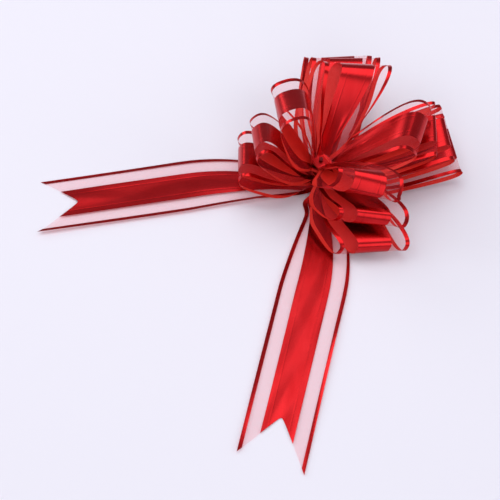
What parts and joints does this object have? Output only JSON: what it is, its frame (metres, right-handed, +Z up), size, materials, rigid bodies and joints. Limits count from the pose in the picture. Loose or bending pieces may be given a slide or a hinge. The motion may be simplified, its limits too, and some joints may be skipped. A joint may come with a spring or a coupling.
{
  "type": "pre-made gift bow",
  "caption": "Pull bow of foil-banded organza ribbon: looped petals stacked on two pull strings, with two swallow-tailed ends lying flat.",
  "frame": {"origin": "on the axis of the pull strings, at the underside of the base knot, level with the surface the bow rests on", "axes": "+Z up the stack of waists; -Y towards the front, where the longer tail lies; -X towards the left tail"},
  "size_m": [0.309, 0.3604, 0.095],
  "materials": {
    "organza_web": "sheer red-pink organza",
    "foil_band": "mirror-like metallised red film",
    "foil_edge": "glossy metallised red film",
    "pull_string": "satin red string"
  },
  "bodies": {
    "pull_strings": {"pull_string_front": "pull_string", "pull_string_back": "pull_string", "base_knot": "pull_string", "top_knot": "pull_string"},
    "left_tail": {"left_tail_web": "organza_web", "left_tail_foil": "foil_band", "left_tail_edges": "foil_edge"},
    "front_tail": {"front_tail_web": "organza_web", "front_tail_foil": "foil_band", "front_tail_edges": "foil_edge"},
    "right_low": {"right_low_web": "organza_web", "right_low_foil": "foil_band", "right_low_edges": "foil_edge"},
    "left_low": {"left_low_web": "organza_web", "left_low_foil": "foil_band", "left_low_edges": "foil_edge"},
    "back_low": {"back_low_web": "organza_web", "back_low_foil": "foil_band", "back_low_edges": "foil_edge"},
    "front_low": {"front_low_web": "organza_web", "front_low_foil": "foil_band", "front_low_edges": "foil_edge"},
    "right_mid": {"right_mid_web": "organza_web", "right_mid_foil": "foil_band", "right_mid_edges": "foil_edge"},
    "left_mid": {"left_mid_web": "organza_web", "left_mid_foil": "foil_band", "left_mid_edges": "foil_edge"},
    "back_mid": {"back_mid_web": "organza_web", "back_mid_foil": "foil_band", "back_mid_edges": "foil_edge"},
    "front_mid": {"front_mid_web": "organza_web", "front_mid_foil": "foil_band", "front_mid_edges": "foil_edge"},
    "right_high": {"right_high_web": "organza_web", "right_high_foil": "foil_band", "right_high_edges": "foil_edge"},
    "right_top": {"right_top_web": "organza_web", "right_top_foil": "foil_band", "right_top_edges": "foil_edge"},
    "left_top": {"left_top_web": "organza_web", "left_top_foil": "foil_band", "left_top_edges": "foil_edge"},
    "back_top": {"back_top_web": "organza_web", "back_top_foil": "foil_band", "back_top_edges": "foil_edge"},
    "front_top": {"front_top_web": "organza_web", "front_top_foil": "foil_band", "front_top_edges": "foil_edge"}
  },
  "joints": [
    {"name": "left_tail_swivel", "type": "hinge", "parent": "pull_strings", "child": "left_tail", "pos_m": [0, 0, 0], "axis": [0, 0, 1], "range_deg": [-15, 15]},
    {"name": "front_tail_swivel", "type": "hinge", "parent": "pull_strings", "child": "front_tail", "pos_m": [0, 0, 0], "axis": [0, 0, 1], "range_deg": [-15, 15]},
    {"name": "right_low_swivel", "type": "hinge", "parent": "pull_strings", "child": "right_low", "pos_m": [0, 0, 0], "axis": [0, 0, 1], "range_deg": [-4, 4]},
    {"name": "left_low_swivel", "type": "hinge", "parent": "pull_strings", "child": "left_low", "pos_m": [0, 0, 0], "axis": [0, 0, 1], "range_deg": [-4, 4]},
    {"name": "back_low_swivel", "type": "hinge", "parent": "pull_strings", "child": "back_low", "pos_m": [0, 0, 0], "axis": [0, 0, 1], "range_deg": [-4, 4]},
    {"name": "front_low_swivel", "type": "hinge", "parent": "pull_strings", "child": "front_low", "pos_m": [0, 0, 0], "axis": [0, 0, 1], "range_deg": [-4, 4]},
    {"name": "right_mid_swivel", "type": "hinge", "parent": "pull_strings", "child": "right_mid", "pos_m": [0, 0, 0], "axis": [0, 0, 1], "range_deg": [-4, 4]},
    {"name": "left_mid_swivel", "type": "hinge", "parent": "pull_strings", "child": "left_mid", "pos_m": [0, 0, 0], "axis": [0, 0, 1], "range_deg": [-4, 4]},
    {"name": "back_mid_swivel", "type": "hinge", "parent": "pull_strings", "child": "back_mid", "pos_m": [0, 0, 0], "axis": [0, 0, 1], "range_deg": [-4, 4]},
    {"name": "front_mid_swivel", "type": "hinge", "parent": "pull_strings", "child": "front_mid", "pos_m": [0, 0, 0], "axis": [0, 0, 1], "range_deg": [-4, 4]},
    {"name": "right_high_swivel", "type": "hinge", "parent": "pull_strings", "child": "right_high", "pos_m": [0, 0, 0], "axis": [0, 0, 1], "range_deg": [-4, 4]},
    {"name": "right_top_swivel", "type": "hinge", "parent": "pull_strings", "child": "right_top", "pos_m": [0, 0, 0], "axis": [0, 0, 1], "range_deg": [-4, 4]},
    {"name": "left_top_swivel", "type": "hinge", "parent": "pull_strings", "child": "left_top", "pos_m": [0, 0, 0], "axis": [0, 0, 1], "range_deg": [-4, 4]},
    {"name": "back_top_swivel", "type": "hinge", "parent": "pull_strings", "child": "back_top", "pos_m": [0, 0, 0], "axis": [0, 0, 1], "range_deg": [-4, 4]},
    {"name": "front_top_swivel", "type": "hinge", "parent": "pull_strings", "child": "front_top", "pos_m": [0, 0, 0], "axis": [0, 0, 1], "range_deg": [-4, 4]}
  ]
}
